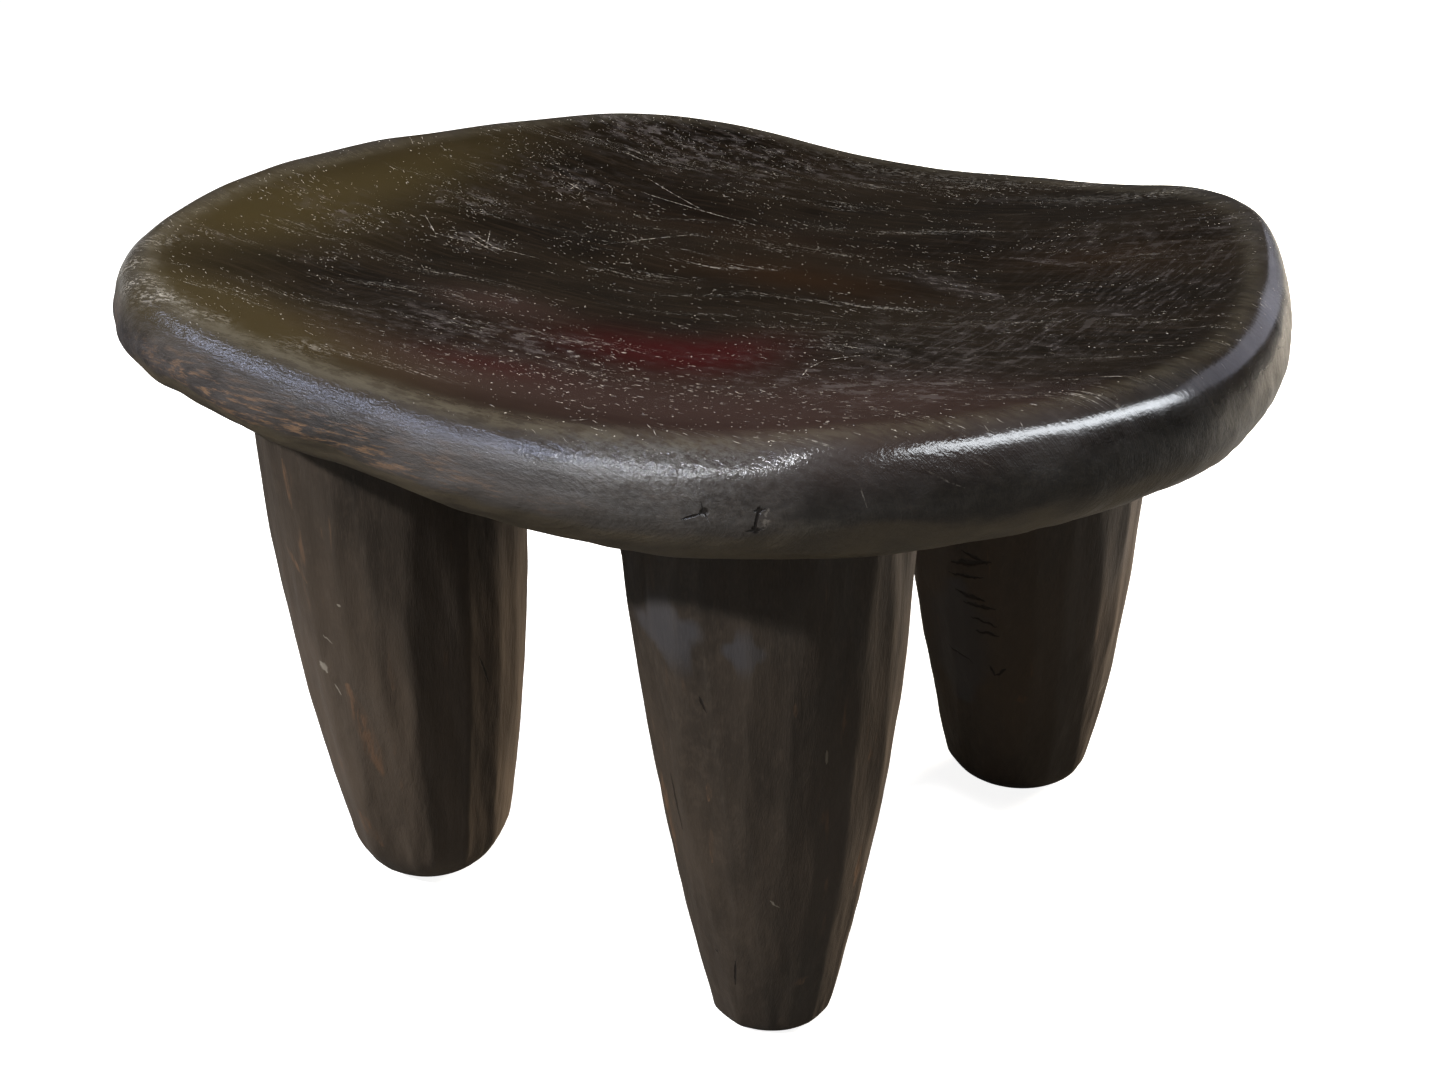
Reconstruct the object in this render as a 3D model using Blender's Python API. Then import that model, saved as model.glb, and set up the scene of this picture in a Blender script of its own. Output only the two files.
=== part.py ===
"""A low carved stool: a thick dished seat on four stout legs that taper to small rounded feet.

Lengths are in metres and +Z is up. +X runs along the grain, the long way of the seat. The feet stand on z = 0.
The stool is carved by hand, so nothing on it is quite round, straight or level: its outline, its rim and its
legs are plain shapes that shares pull in and out. Most of the shares come from a least-squares fit to the
photo's outline, made by another script and rounded here. The hidden leg's shares are a guess.
"""

import bpy
import numpy as np

# The seat seen from above: a squarish oval, 2 would make it an ellipse
SEAT_HALF_LENGTH = 0.1985
SEAT_HALF_WIDTH = 0.1810
SQUARENESS = 2.55

# The rim: its mean height, the seat's thickness there, and the two rounds that meet at its widest line
RIM_HEIGHT = 0.2325
SEAT_THICKNESS = 0.0425
CREST_WIDTH = 0.0200
UNDER_ROUND_WIDTH = 0.0350
WIDEST_SHARE = 0.52

# The dish in the top, below the mean rim, and the underside's middle, as a share of the thickness
DISH_DEPTH = 0.0160
DISH_POWER = 2.7
BELLY_SHARE = 1.03

# Stations round the seat, evenly spaced from +X towards +Y.
# Each has its reach, as a share of the plain outline, its rise, as a share of the thickness, and the
# thickness and the crest's width there, as shares of theirs.
STATION_SHARES = (
    (1.012, 0.13, 1.03, 0.92),
    (0.935, 0.20, 1.01, 0.66),
    (0.943, 0.15, 1.01, 0.44),
    (0.976, -0.09, 1.00, 0.44),
    (1.004, -0.22, 0.98, 0.57),
    (1.005, -0.08, 0.98, 0.65),
    (1.002, 0.18, 1.01, 0.62),
    (0.999, 0.16, 1.05, 0.50),
    (1.014, 0.18, 1.06, 0.39),
    (1.009, 0.09, 1.02, 0.50),
    (1.015, 0.09, 0.93, 0.78),
    (1.017, 0.00, 0.85, 1.09),
    (1.001, -0.15, 0.86, 1.30),
    (0.993, -0.20, 0.95, 1.30),
    (1.003, -0.04, 1.09, 1.07),
    (1.038, 0.09, 1.05, 1.04),
)

# The legs: radii at the seat and at the floor, and the round at the foot's edge
LEG_TOP_RADIUS = 0.0460
FOOT_RADIUS = 0.0235
FOOT_ROUND_HEIGHT = 0.0130
FOOT_ROUND_WIDTH = 0.0104
LEG_BOW = 0.0020

# Where a leg meets the seat it spreads a little, and the seam between the two stays open by a hair
FLARE_WIDTH = 0.0030
FLARE_HEIGHT = 0.0110
SEAM = 0.0003

# The flats that the adze leaves down a leg, and how far they go towards true flats
LEG_FLATS = 12
FLATNESS_SHARE = 0.55

# Each leg's foot and its lean from foot to top, as shares of the seat's half length and half width, its top
# and foot radii and its foot round as shares of theirs, its swell (2 is a parabola), its bow as a share, and
# the turn of its flats, as a share of one flat.
LEG_SHARES = {
    "front_left_leg": {
        "foot_shares": (-0.364, -0.500), "lean_shares": (-0.013, -0.013),
        "top_radius_share": 0.99, "foot_radius_share": 1.05, "foot_round_share": 1.40,
        "swell": 2.17, "bow_share": 0.1, "flat_turn_share": 0.2,
    },
    "front_right_leg": {
        "foot_shares": (0.416, -0.519), "lean_shares": (-0.012, 0.012),
        "top_radius_share": 0.98, "foot_radius_share": 0.82, "foot_round_share": 0.42,
        "swell": 1.78, "bow_share": 0.2, "flat_turn_share": 0.5,
    },
    "back_right_leg": {
        "foot_shares": (0.406, 0.519), "lean_shares": (-0.045, -0.036),
        "top_radius_share": 1.06, "foot_radius_share": 1.12, "foot_round_share": 0.94,
        "swell": 2.06, "bow_share": 1.0, "flat_turn_share": 0.8,
    },
    "back_left_leg": {
        "foot_shares": (-0.375, 0.505), "lean_shares": (-0.005, -0.010),
        "top_radius_share": 1.00, "foot_radius_share": 1.02, "foot_round_share": 1.10,
        "swell": 2.05, "bow_share": 0.5, "flat_turn_share": 0.0,
    },
}

# The wood: the seat is polished by handling, and the legs are duller
SEAT_COLOUR = (0.030, 0.019, 0.014)
SEAT_ROUGHNESS = 0.30
LEG_COLOUR = (0.042, 0.032, 0.026)
LEG_ROUGHNESS = 0.55

# How finely the surfaces are cut into facets
SEAT_SIDES = 80
LEG_SIDES = 36
ROUND_STEPS = 7
DISH_RING_SHARES = (0.14, 0.28, 0.42, 0.55, 0.67, 0.78, 0.87)
UNDERSIDE_RING_SHARES = (0.74, 0.60, 0.46, 0.31, 0.16)
LEG_RING_SHARES = (0.10, 0.15, 0.21, 0.28, 0.36, 0.45, 0.55, 0.65, 0.75, 0.84, 0.91)
FLARE_RING_SHARES = (1.0, 0.6, 0.25, 0.0)
CAP_RING_SHARES = (0.72, 0.38)


def through_stations(column, angle):
    """A smooth closed curve through one column of the stations: the sum of the waves that they hold."""
    stations = np.array(STATION_SHARES)[:, column]
    waves = np.fft.rfft(stations) / len(stations)
    value = np.full_like(angle, waves[0].real)
    for count in range(1, len(waves)):
        pair = 1 if 2 * count == len(stations) else 2
        value = value + pair * (waves[count] * np.exp(1j * count * angle)).real
    return value


def outline_reach(angle):
    """How far the seat reaches from its middle in a direction."""
    length_term = np.abs(np.cos(angle) / SEAT_HALF_LENGTH) ** SQUARENESS
    width_term = np.abs(np.sin(angle) / SEAT_HALF_WIDTH) ** SQUARENESS
    return (length_term + width_term) ** (-1 / SQUARENESS) * through_stations(0, angle)


def rim_height(angle):
    """The height of the rim in a direction."""
    return RIM_HEIGHT + SEAT_THICKNESS * through_stations(1, angle)


def rim_thickness(angle):
    """The seat's thickness at the rim in a direction."""
    return SEAT_THICKNESS * through_stations(2, angle)


def quarter_round(share):
    """How far a quarter of an ellipse has dropped: 1 at its outer end, where share is 0, and 0 inside."""
    return 1 - np.sqrt(1 - np.clip(1 - share, 0, 1) ** 2)


def top_height(angle, distance):
    """The height of the seat's top at a distance from its middle: the dish, less the crest's outer round."""
    reach = outline_reach(angle)
    rim = rim_height(angle)
    crest_width = CREST_WIDTH * through_stations(3, angle)
    crest_drop = WIDEST_SHARE * rim_thickness(angle) * quarter_round((reach - distance) / crest_width)
    floor = RIM_HEIGHT - DISH_DEPTH
    dish_drop = (rim - floor) * (1 - (distance / reach) ** DISH_POWER)
    return rim - crest_drop - dish_drop


def underside_height(angle, distance):
    """The height of the seat's underside at a distance from its middle, with the round up to the rim."""
    reach = outline_reach(angle)
    thickness = rim_thickness(angle)
    bottom = rim_height(angle) - thickness
    middle = RIM_HEIGHT - BELLY_SHARE * SEAT_THICKNESS
    round_rise = (1 - WIDEST_SHARE) * thickness * quarter_round((reach - distance) / UNDER_ROUND_WIDTH)
    return middle + (bottom - middle) * (distance / reach) ** 2 + round_rise


def seat_rings():
    """The seat's rings, from the middle of the dish over the crest and in to the middle of the underside."""
    angle = np.linspace(0, 2 * np.pi, SEAT_SIDES, endpoint=False)
    reach = outline_reach(angle)
    crest_width = CREST_WIDTH * through_stations(3, angle)
    inner_reach = reach - crest_width
    steps = np.linspace(0, np.pi / 2, ROUND_STEPS + 1)
    paths = [(share * inner_reach, top_height) for share in DISH_RING_SHARES]
    paths += [(reach - crest_width * (1 - np.sin(step)), top_height) for step in steps]
    paths += [(reach - UNDER_ROUND_WIDTH * (1 - np.cos(step)), underside_height) for step in steps[1:]]
    paths += [(share * reach, underside_height) for share in UNDERSIDE_RING_SHARES]
    rings = [ring_points(angle, distance, height(angle, distance)) for distance, height in paths]
    top_pole = (0, 0, top_height(angle[:1], np.zeros(1))[0])
    bottom_pole = (0, 0, underside_height(angle[:1], np.zeros(1))[0])
    return rings, top_pole, bottom_pole


def ring_points(angle, distance, height):
    """Points round the seat's middle at these distances and heights."""
    return np.stack([distance * np.cos(angle), distance * np.sin(angle), height], axis=-1)


def leg_radius(shares, height_share, height):
    """A leg's radius: it swells from the foot to the seat, and is rounded at the floor."""
    foot = FOOT_RADIUS * shares["foot_radius_share"]
    top = LEG_TOP_RADIUS * shares["top_radius_share"]
    plain = foot + (top - foot) * (1 - (1 - height_share) ** shares["swell"])
    foot_round = FOOT_ROUND_WIDTH * shares["foot_round_share"]
    edge = foot_round * quarter_round(height / (FOOT_ROUND_HEIGHT * shares["foot_round_share"]))
    return plain - edge


def leg_outline(shares, height_share, height, below_seat):
    """The points of one turn round a leg, seen from above, with the soft flats that the adze left."""
    angle = np.linspace(0, 2 * np.pi, LEG_SIDES, endpoint=False)
    flat = 2 * np.pi / LEG_FLATS
    from_flat_middle = (angle + shares["flat_turn_share"] * flat) % flat - flat / 2
    flattened = np.cos(flat / 2) / np.cos(from_flat_middle)
    radius = leg_radius(shares, height_share, height) * (1 + FLATNESS_SHARE * (flattened - 1))
    flare = FLARE_WIDTH * np.clip(1 - below_seat / FLARE_HEIGHT, 0, 1) ** 2
    foot_x, foot_y = shares["foot_shares"]
    lean_x, lean_y = shares["lean_shares"]
    bow = LEG_BOW * shares["bow_share"] * np.sin(np.pi * height_share)
    middle_x = SEAT_HALF_LENGTH * (foot_x + lean_x * height_share) + bow
    middle_y = SEAT_HALF_WIDTH * (foot_y + lean_y * height_share) + bow
    spread = radius + flare
    return middle_x + spread * np.cos(angle), middle_y + spread * np.sin(angle), (middle_x, middle_y)


def seam_height(x, y):
    """The height of a leg's top face under the seat at a place, one seam below the seat's underside."""
    return underside_height(np.arctan2(y, x), np.hypot(x, y)) - SEAM


def leg_rings(shares):
    """A leg's rings from the sole to its top face, each scaled in height to meet the underside above."""
    steps = np.linspace(0, np.pi / 2, ROUND_STEPS + 1)
    round_height = FOOT_ROUND_HEIGHT * shares["foot_round_share"]
    nominal_top = RIM_HEIGHT - SEAT_THICKNESS
    heights = [round_height * (1 - np.cos(step)) for step in steps[:-1]]
    heights += [nominal_top * share for share in LEG_RING_SHARES if nominal_top * share > round_height]
    heights += [nominal_top - FLARE_HEIGHT * share for share in FLARE_RING_SHARES]
    top_x, top_y, _ = leg_outline(shares, 1, nominal_top, 0)
    stretch = seam_height(top_x, top_y) / nominal_top
    rings = []
    for height in heights:
        x, y, middle = leg_outline(shares, height / nominal_top, height, nominal_top - height)
        rings.append(np.stack([x, y, height * stretch], axis=-1))
    for share in CAP_RING_SHARES:
        x = middle[0] + share * (top_x - middle[0])
        y = middle[1] + share * (top_y - middle[1])
        rings.append(np.stack([x, y, seam_height(x, y)], axis=-1))
    foot_x, foot_y = shares["foot_shares"]
    sole_pole = (SEAT_HALF_LENGTH * foot_x, SEAT_HALF_WIDTH * foot_y, 0)
    top_pole = (middle[0], middle[1], float(seam_height(middle[0], middle[1])))
    return rings, sole_pole, top_pole


def loft(name, rings, first_pole, last_pole, material):
    """A closed body through rings of equal count, closed by a fan at each end."""
    sides = len(rings[0])
    points = np.concatenate([*rings, [first_pole], [last_pole]])
    first = len(points) - 2
    last = len(points) - 1
    faces = []
    for side in range(sides):
        after = (side + 1) % sides
        faces.append((first, side, after))
        for ring in range(len(rings) - 1):
            low = ring * sides
            faces.append((low + after, low + side, low + sides + side, low + sides + after))
        low = (len(rings) - 1) * sides
        faces.append((low + after, low + side, last))
    mesh = bpy.data.meshes.new(name)
    mesh.from_pydata(points.tolist(), [], faces)
    mesh.shade_smooth()
    mesh.materials.append(material)
    return bpy.data.objects.new(name, mesh)


def wood(name, colour, roughness):
    """A plain wood material."""
    material = bpy.data.materials.new(name)
    material.use_nodes = True
    shader = material.node_tree.nodes["Principled BSDF"]
    shader.inputs["Base Color"].default_value = (*colour, 1)
    shader.inputs["Roughness"].default_value = roughness
    shader.inputs["Metallic"].default_value = 0
    return material


def seat_middle():
    """The middle of the seat's bounding box, measured from the point that its outline turns about."""
    angle = np.linspace(0, 2 * np.pi, SEAT_SIDES, endpoint=False)
    reach = outline_reach(angle)
    x = reach * np.cos(angle)
    y = reach * np.sin(angle)
    return (x.max() + x.min()) / 2, (y.max() + y.min()) / 2


def main():
    for item in list(bpy.data.objects):
        bpy.data.objects.remove(item, do_unlink=True)
    collection = bpy.data.collections.new("stool")
    bpy.context.scene.collection.children.link(collection)
    root = bpy.data.objects.new("stool_root", None)
    collection.objects.link(root)
    middle_x, middle_y = seat_middle()
    root.location = (-middle_x, -middle_y, 0)

    seat_rings_down, dish_pole, belly_pole = seat_rings()
    seat_wood = wood("seat_wood", SEAT_COLOUR, SEAT_ROUGHNESS)
    pieces = [loft("seat", seat_rings_down, dish_pole, belly_pole, seat_wood)]
    for name, shares in LEG_SHARES.items():
        rings_up, sole_pole, top_pole = leg_rings(shares)
        rings_down = rings_up[::-1]
        material = wood(name + "_wood", LEG_COLOUR, LEG_ROUGHNESS)
        pieces.append(loft(name, rings_down, top_pole, sole_pole, material))
    for piece in pieces:
        collection.objects.link(piece)
        piece.parent = root


main()
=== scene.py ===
"""The looks of a low stool carved from one block of dark hardwood.

The seat is polished black by handling, with a worn crest and pores full of pale dust. The rim and the legs
keep the marks of the adze. Every surface is a grid worked out from the same sizes as the solids. Lengths are
in metres, angles in the tables in degrees and the places of marks in millimetres.

The camera's place and lens and most of the shares of the outline and the legs come from least-squares fits to
the photo's outline, made by other scripts and rounded here. The hidden leg's shares are a guess.
"""

import math
from functools import partial

import bpy
import mathutils
import numpy as np
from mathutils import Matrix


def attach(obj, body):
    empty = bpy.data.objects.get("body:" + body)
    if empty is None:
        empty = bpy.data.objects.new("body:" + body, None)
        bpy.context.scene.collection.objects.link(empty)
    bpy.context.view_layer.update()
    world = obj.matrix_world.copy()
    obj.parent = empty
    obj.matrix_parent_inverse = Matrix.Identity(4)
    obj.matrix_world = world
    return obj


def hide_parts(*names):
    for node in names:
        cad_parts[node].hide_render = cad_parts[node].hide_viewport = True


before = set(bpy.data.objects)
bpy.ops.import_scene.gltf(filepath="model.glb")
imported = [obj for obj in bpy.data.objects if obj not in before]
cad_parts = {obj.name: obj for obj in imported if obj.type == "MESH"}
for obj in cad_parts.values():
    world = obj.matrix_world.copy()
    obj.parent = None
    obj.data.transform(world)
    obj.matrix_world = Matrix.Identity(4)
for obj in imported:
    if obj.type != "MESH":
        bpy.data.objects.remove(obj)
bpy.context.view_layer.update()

# The camera: where it stands round the stool, in degrees, how far from what it looks at, and its lens
CAMERA_AZIMUTH = 34.47
CAMERA_ELEVATION = 23.29
CAMERA_ROLL = -0.43
CAMERA_DISTANCE = 0.6694
CAMERA_TARGET = (0.0187, -0.0305, 0.1302)
CAMERA_LENS_MM = 47.45
SENSOR_MM = 36

# The seat seen from above, its rim and its dish
SEAT_HALF_LENGTH = 0.1985
SEAT_HALF_WIDTH = 0.1810
SQUARENESS = 2.55
RIM_HEIGHT = 0.2325
SEAT_THICKNESS = 0.0425
CREST_WIDTH = 0.0200
CREST_LINE = 0.0065
CREST_SPREAD = 0.0060
UNDER_ROUND_WIDTH = 0.0350
WIDEST_SHARE = 0.52
DISH_DEPTH = 0.0160
DISH_POWER = 2.7
BELLY_SHARE = 1.03
SOLID_SIDES = 80

# Stations round the seat from +X towards +Y: reach, rise, thickness and crest width, as shares
STATION_SHARES = (
    (1.012, 0.13, 1.03, 0.92),
    (0.935, 0.20, 1.01, 0.66),
    (0.943, 0.15, 1.01, 0.44),
    (0.976, -0.09, 1.00, 0.44),
    (1.004, -0.22, 0.98, 0.57),
    (1.005, -0.08, 0.98, 0.65),
    (1.002, 0.18, 1.01, 0.62),
    (0.999, 0.16, 1.05, 0.50),
    (1.014, 0.18, 1.06, 0.39),
    (1.009, 0.09, 1.02, 0.50),
    (1.015, 0.09, 0.93, 0.78),
    (1.017, 0.00, 0.85, 1.09),
    (1.001, -0.15, 0.86, 1.30),
    (0.993, -0.20, 0.95, 1.30),
    (1.003, -0.04, 1.09, 1.07),
    (1.038, 0.09, 1.05, 1.04),
)

# The legs: sizes that they share, and shares and a seed for each
LEG_TOP_RADIUS = 0.0460
FOOT_RADIUS = 0.0235
FOOT_ROUND_HEIGHT = 0.0130
FOOT_ROUND_WIDTH = 0.0104
LEG_BOW = 0.0020
LEG_FLATS = 14
CUT_ROWS = 3
CUT_LEVEL = 0.970
MEAN_CUT = 0.985
CUT_DEPTH = 0.66
CUT_RUN = 0.020
CUT_SOFTNESS = 0.004
FILLET_WIDTH = 0.0012
FILLET_HEIGHT = 0.0030
INTO_SEAT = 0.0015
LEG_TERMS = (
    "foot_shares", "lean_shares", "top_radius_share", "foot_radius_share", "foot_round_share", "swell",
    "bow_share", "dust_share", "seed",
)
LEGS = {
    "front_left_leg": ((-0.364, -0.500), (-0.013, -0.013), 0.99, 1.05, 1.40, 2.17, 0.1, 1.0, 11),
    "front_right_leg": ((0.416, -0.519), (-0.012, 0.012), 0.98, 0.82, 0.42, 1.78, 0.2, 0.45, 12),
    "back_right_leg": ((0.406, 0.519), (-0.045, -0.036), 1.06, 1.12, 0.94, 2.06, 1.0, 0.8, 13),
    "back_left_leg": ((-0.375, 0.505), (-0.005, -0.010), 1.00, 1.02, 1.10, 2.05, 0.5, 0.8, 14),
}

# How fine the grids are
SEAT_COLUMNS = 560
DISH_ROWS = 50
CREST_ROWS = 30
UNDER_ROUND_ROWS = 30
BELLY_ROWS = 30
LEG_COLUMNS = 180
LEG_ROWS = 150
FOOT_ROWS = 12

# The front corner, about which the grid's columns are closer. This one half width is in radians.
CORNER_DEGREES = -57
CROWDED_HALF_WIDTH = 0.40
CROWDING = 2.0

# The flats planed on the corner above and below: each has its facing, a point on it, how soft its edge is,
# and the directions between which it runs and fades
CORNER_FLATS = (
    ((0.121, -0.485, 0.866), (0.0995, -0.1621, 0.2155), 0.0004, (-82, -71, -54.5, -48)),
    ((0.529, -0.679, -0.505), (0.1343, -0.1500, 0.2049), 0.0004, (-62, -56, -36, -20)),
)

# Marks on the seat's top seen from above: where each starts, how far it runs and its half width
SEAT_MARKS = {
    "scratch": (
        (-60, 8, 20, 33, 0.17), (-98, 87, 39, -18, 0.16), (-91, 73, 62, -10, 0.16),
        (-131, -11, 16, -12, 0.17), (-115, -23, 17, 2, 0.17), (-98, -21, 31, 0, 0.16),
        (88, -90, -3, 8, 0.2), (85, -82, 0, 9, 0.2), (85, -72, 8, 8, 0.2), (-109, -12, 25, -10, 0.18),
        (-106, -16, 24, -10, 0.18), (-103, -6, 12, -16, 0.18), (-118, 60, 8, -2, 0.25),
        (-115, 64, 2, -9, 0.25),
    ),
    # The smears at the pits are painted glints, the others real smears
    "smears_and_painted_glints": (
        (80, 62, 38, -10, 4.0), (58, 31, 40, -14, 9.0), (126, 8, 29, -9, 6.0), (-152, -34, 6, -4, 9.0),
        (-139, 5, 3, 0, 3.0), (-63, -93, 2, 0, 2.5), (-41, -70, 6, -2, 3.0), (16, -116, 8, -4, 5.0),
    ),
    "pit": (
        (-139, 5, 0.5, 0, 3.2), (-63, -93, 0.5, 0, 2.4), (-41, -70, 1.5, 0, 4.0), (56, 30, 0.5, 0, 2.6),
        (66, 11, 0.5, 0, 2.6), (122, -33, 0.5, 0, 2.4),
    ),
}

# Marks on the seat's front side seen from the front: a worm hole with a crack, a slit, and scratches
SIDE_MARKS = {
    "hole": (
        (104.5, 206.9, 0.4, 0.2, 3.4), (104, 206.5, -4.8, -2, 0.45), (117.7, 209.3, -0.9, -6.6, 0.5),
        (117.6, 208.6, 0.2, -0.8, 1.8), (116.8, 203.2, 0.2, -0.8, 2.6),
    ),
    "scratch": (
        (145, 224, 7, -5, 0.3), (152, 219, 9, -5, 0.3), (138, 219, 4, -9, 0.22), (160, 222, 6, -4, 0.25),
        (119.8, 208.6, -0.6, -5, 1.2),
    ),
}

# Bare wood that shows on the front side, seen from the front: patches as those below
BARE_PATCHES = (
    (-78, 219, 24, 5, 0.9), (-52, 213, 26, 7, 1.0), (-26, 210, 26, 7, 1.0), (0, 209, 22, 7, 0.9),
    (26, 206, 14, 5, 0.5),
)

# Marks on the legs, as the camera sees them: how far right of the stool's middle, how high, then as above
LEG_MARKS = {
    "crack": (
        (84, 106, 13, 3, 1.6), (87, 112, 9, -4, 0.9), (86, 94.5, 10, -3, 1.3), (89, 90, 11, -1, 1.0),
        (94, 78.5, 8, -1, 1.0), (92, 84, 9, -2, 0.7), (100, 63.5, 2, -4, 0.8), (102, 59.5, 3.5, 3, 0.8),
        (85, 67, 9, -4, 0.5), (83, 101, 12, 1, 0.7), (1.3, 33, 0, -11, 0.5), (-4.7, 34, 0.3, 0.5, 1.0),
        (-18.3, 99, 3.4, -18, 0.4), (-9, 133, 2, -5, 0.5), (-86, 100, 2, -12, 0.4),
    ),
    "pale": (
        (145, 44, 3.5, 2, 0.5), (-140.5, 99, 2, -3.5, 1.7), (-131, 124.5, 1, -1, 0.8),
        (28.5, 116, 0, -5, 0.6), (-138, 110, 3, -2, 0.4), (-136, 91, 2, -4, 0.4), (12, 60, 3, -3, 0.4),
    ),
    "worn": (
        (-146, 174, 1.8, -17, 1.3), (-150, 141, 8, -11, 1.3), (-131, 92, 9, -37, 4.0),
        (-6.6, 102, 0, -6, 1.2), (-6, 85, 0.3, -13, 1.0), (19, 134, 0, -5, 0.9), (21.8, 25.5, 1, -2, 3.0),
        (112, 51, 1, -3, 3.0), (-134, 36, 8, -14, 3.0), (-22, 95, 5, -30, 1.4),
    ),
    # Painted patches of bluish sky light and sheen on the legs' sunlit sides
    "painted_sky_light": ((-24, 150, 12, 4, 17.0), (0, 150, 8, 0, 10.0), (86, 96, 6, -50, 15.0)),
}

# Patches on the seat's top: middle, half length, half width and strength
SEAT_PATCHES = {
    # The red and olive patches are painted reflections of the surroundings in the polished dish
    "painted_red_reflection": ((2, -131, 24, 9, 0.6), (28, -88, 34, 17, 0.9), (54, -76, 18, 22, 0.7)),
    "warm": ((24, 10, 42, 14, 1.0), (-20, 50, 60, 14, 0.4), (110, 60, 30, 16, 0.5)),
    "painted_olive_reflection": (
        (-168, -60, 34, 85, 1.0), (-110, -150, 60, 24, 1.0), (-60, -160, 60, 16, 0.7),
        (-168, 40, 20, 60, 0.5),
    ),
    "brown": (
        (70, -135, 90, 26, 1.0), (-20, -150, 60, 16, 0.6), (130, -100, 60, 24, 0.7),
        (-40, -75, 26, 12, 0.7),
    ),
    # Hazy patches: some are real scuffed haze, some are painted sheen and reflections on the polished top
    "haze_and_painted_sheen": (
        (-110, 125, 60, 22, 1.0), (-150, -30, 25, 22, 0.35), (-118, 60, 34, 18, 0.5),
        (-60, 146, 40, 12, 0.7), (120, -50, 60, 50, 0.5), (140, 90, 50, 34, 0.55), (-40, -120, 50, 26, 0.4),
        (-14, -103, 38, 12, 1.0), (62, 33, 16, 10, 0.6), (112, -94, 46, 15, 0.9),
    ),
    "scoured": (
        (118, -45, 34, 62, 0.9), (150, 30, 30, 60, 0.7), (90, 80, 40, 30, 0.4), (-60, -100, 40, 20, 0.3),
    ),
    "scuffed": (
        (-171, -33, 12, 12, 0.5), (-147, -38, 14, 10, 0.5), (-158, -95, 12, 10, 0.5),
        (-119, 62, 18, 14, 1.0), (-128, 20, 20, 10, 0.8), (-129, 125, 26, 12, 0.9), (-98, 125, 24, 16, 0.9),
        (-71, 146, 26, 10, 0.8), (-116, -77, 12, 10, 0.6), (-97, -20, 14, 8, 0.8), (50, 137, 40, 8, 0.5),
        (140, 98, 20, 10, 0.6), (75, -48, 14, 16, 0.6),
    ),
    "chipped": (
        (-148, -138, 10, 5, 0.8), (-128, -151, 10, 4, 1.0), (-108, -158, 10, 4, 1.0),
        (-82, -162, 10, 3, 0.6), (-40, -160, 9, 5, 0.5), (96, 140, 40, 6, 0.5), (0, 160, 50, 5, 0.4),
        (-158, -120, 6, 12, 0.6),
    ),
    "dashed": ((60, -116, 80, 20, 1.0), (20, -132, 50, 14, 0.6)),
    "dusty": (
        (-120, 0, 70, 90, 0.8), (-100, 90, 80, 50, 0.9), (60, -120, 70, 40, 0.6), (0, -80, 90, 50, 0.25),
        (50, 40, 90, 60, 0.4), (130, 0, 60, 90, 0.3),
    ),
}

# Where the seat's side and crest change: a direction round the seat and a half width about it
ROUGH_LEFT = (-110, 50)
LEFT_END = (-165, 45)
DUSTY_FRONT = (-76, 18)
CORNER = (-61, 9)
CORNER_RIGHT = (-44, 7)
RIGHT_END = (4, 34)

# The same for a height, and for how far in from the edge the top's line of dust runs
DUSTY_FRONT_HEIGHT = (0.200, 0.018)
DUST_LINE_INSET = (0.013, 0.0036)

# The steps of the adze cuts, along and across, on the seat's side and under it
SIDE_SCOOP_STEP = (0.026, 0.013)
BELLY_SCOOP_STEP = (0.040, 0.028)
SCOOP_SOFTNESS = 0.06

# How deep the finest relief of the finishes is
SEAT_RELIEF_DEPTH = 0.0006
LEG_RELIEF_DEPTH = 0.0004

# The finishes' colours, in linear light: the seat's and then the legs'
DEEP_PATINA = (0.0042, 0.0029, 0.0018, 1)
LIGHT_PATINA = (0.0110, 0.0075, 0.0042, 1)
BROWN_FIBRE = (0.020, 0.0135, 0.0085, 1)
DARK_SIDE = (0.020, 0.018, 0.017, 1)
LIGHT_SIDE = (0.050, 0.043, 0.039, 1)
PALE_GRIME = (0.085, 0.075, 0.068, 1)
DARK_GRIME = (0.010, 0.008, 0.007, 1)
# Painted light bounced from the floor, low on the corner's right face, and dust on the right end
WARM_DUST_AND_BOUNCE_LIGHT = (0.085, 0.077, 0.058, 1)
BARE_WOOD = (0.17, 0.105, 0.062, 1)
DARK_BELLY = (0.055, 0.045, 0.030, 1)
LIGHT_BELLY = (0.120, 0.100, 0.066, 1)
LINE_DUST = (0.105, 0.091, 0.062, 1)
WORN_CREST = (0.070, 0.067, 0.066, 1)
# The corner's rubbed spots: partly real dull dust, partly a painted sparkle of light
CORNER_DUST_AND_SHEEN = (0.15, 0.15, 0.145, 1)
# A pale film: real haze and smears, and painted sheen, reflections and glints
FILM_AND_PAINTED_SHEEN = (0.112, 0.098, 0.093, 1)
PORE_DUST = (0.62, 0.58, 0.51, 1)
# Painted shade inside the worm hole and the slit
PAINTED_SHADE_IN_HOLE = (0.004, 0.0025, 0.002, 1)
DARK_LEG = (0.024, 0.0190, 0.0150, 1)
LIGHT_LEG = (0.050, 0.0400, 0.0320, 1)
LEG_FIBRE = (0.075, 0.059, 0.046, 1)
LEG_DUST = (0.118, 0.091, 0.068, 1)
WORN_LEG = (0.150, 0.092, 0.058, 1)
# Painted bluish sky light on the legs
PAINTED_SKY_LIGHT_ON_LEG = (0.070, 0.072, 0.084, 1)
CREASE_DUST = (0.11, 0.095, 0.08, 1)
PALE_NICK = (0.36, 0.33, 0.28, 1)
# Painted shade inside the legs' cracks
PAINTED_SHADE_IN_CRACK = (0.006, 0.004, 0.003, 1)

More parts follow.
